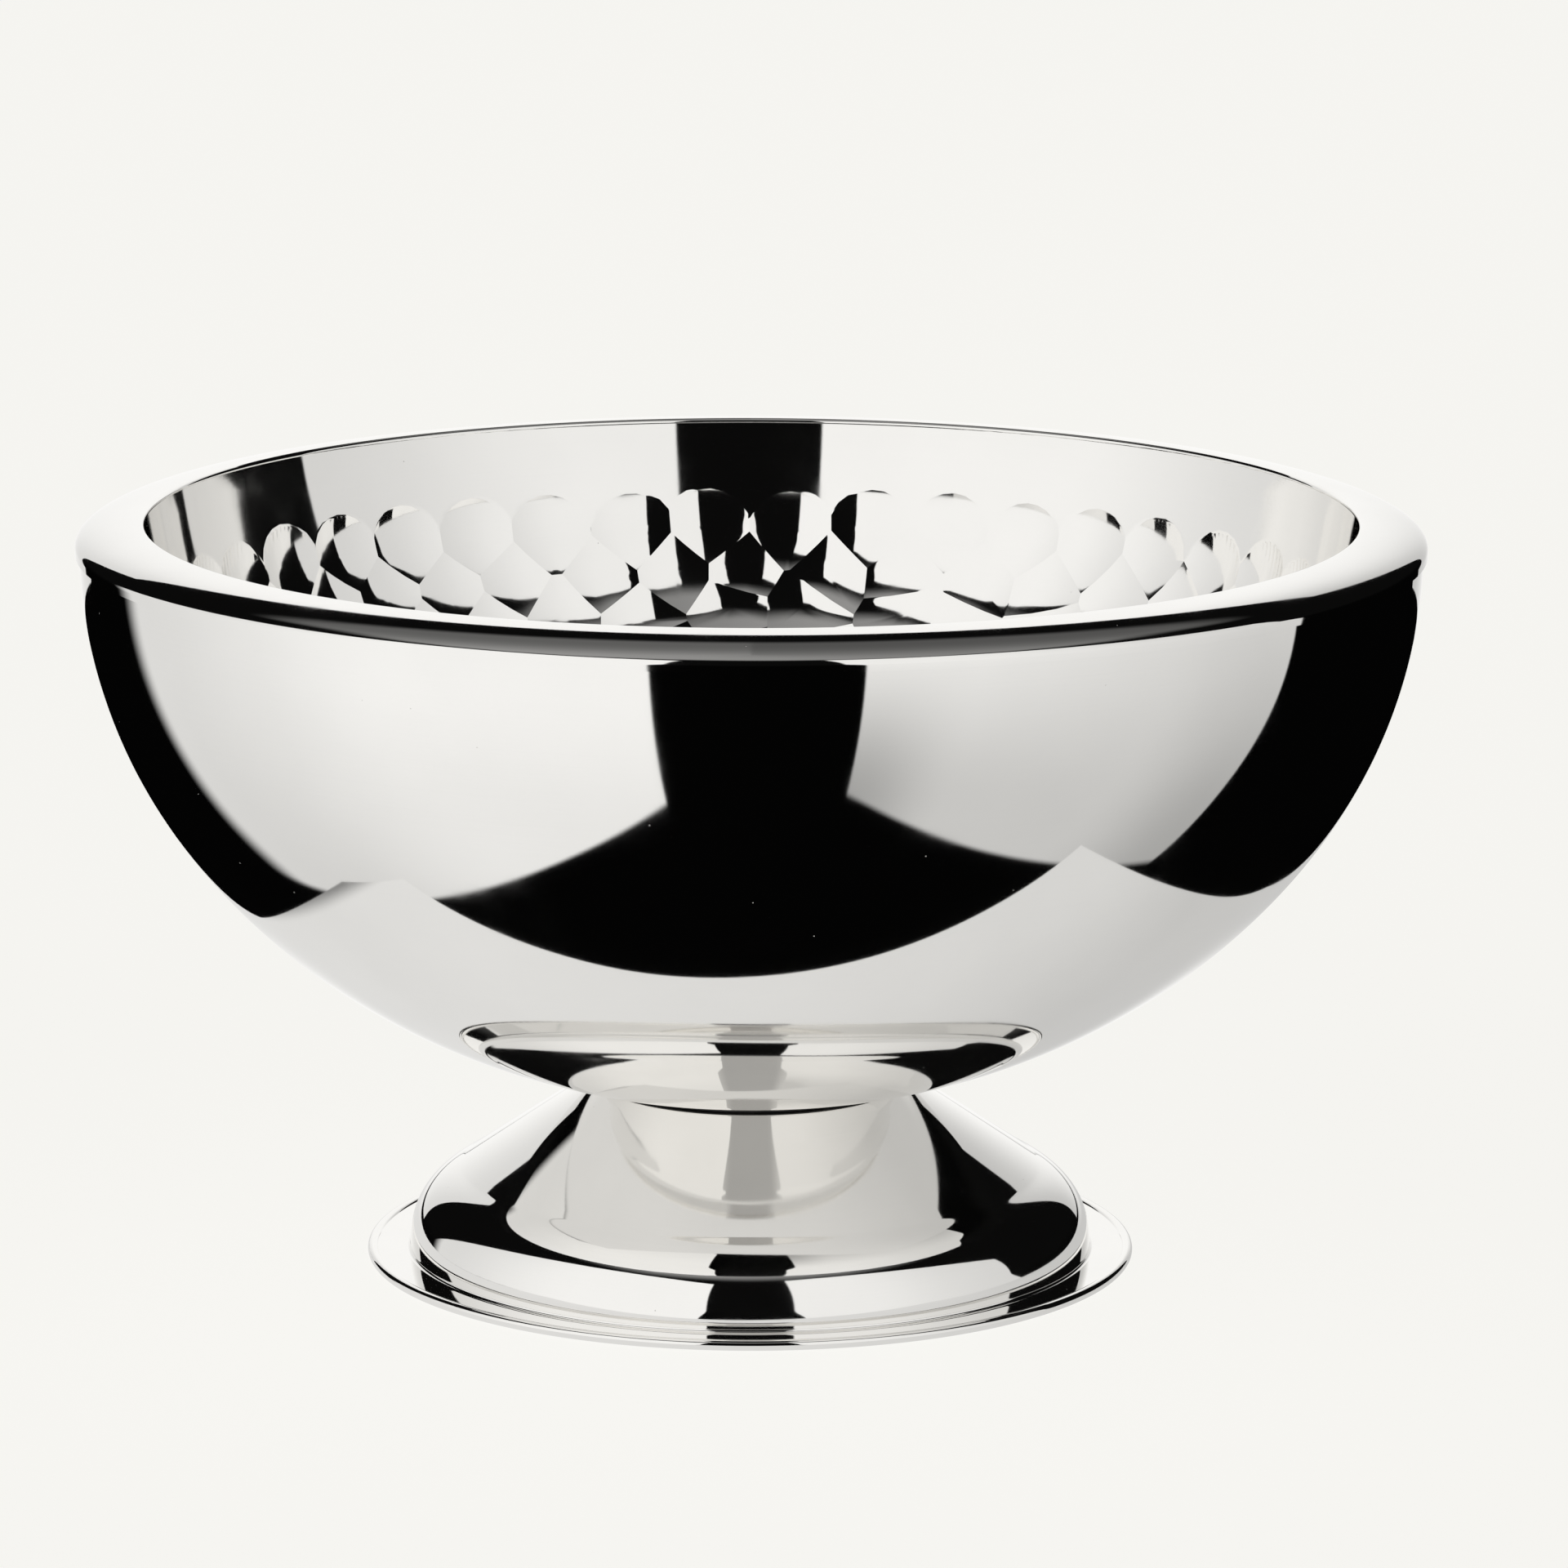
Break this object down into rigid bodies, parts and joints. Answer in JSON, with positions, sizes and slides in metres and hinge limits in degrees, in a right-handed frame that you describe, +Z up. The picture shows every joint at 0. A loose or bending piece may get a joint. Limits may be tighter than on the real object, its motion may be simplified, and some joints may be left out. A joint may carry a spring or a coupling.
{
  "type": "champagne bowl",
  "caption": "Wide double-walled champagne bucket: hammered inner bowl and smooth polished shell, joined at a domed rim and clamped to a spun pedestal foot.",
  "frame": {"origin": "on the bowl's axis, on the surface that the foot stands on", "axes": "+Z up along the axis that the bowl and foot are turned about; X and Y are equivalent"},
  "size_m": [0.48, 0.48, 0.2695],
  "materials": {
    "polished_silver": "mirror polished, with fine wiping scratches",
    "hammered_silver": "mirror polished, hammered inside and smooth at the rim",
    "plain_steel": "plain turned and pressed steel",
    "sealing_resin": "set resin",
    "cork": "pressed cork",
    "black_rubber": "matt"
  },
  "bodies": {
    "root": {"inner_bowl": "hammered_silver", "outer_shell": "polished_silver", "pedestal_foot": "polished_silver", "foot_edge_wire": "plain_steel", "rim_bond_ring": "sealing_resin", "stud_plate": "plain_steel", "foot_stud": "plain_steel", "support_pad": "cork", "seat_gasket": "black_rubber", "spreader_plate": "plain_steel", "spring_washer": "plain_steel", "hex_nut": "plain_steel"}
  },
  "joints": []
}
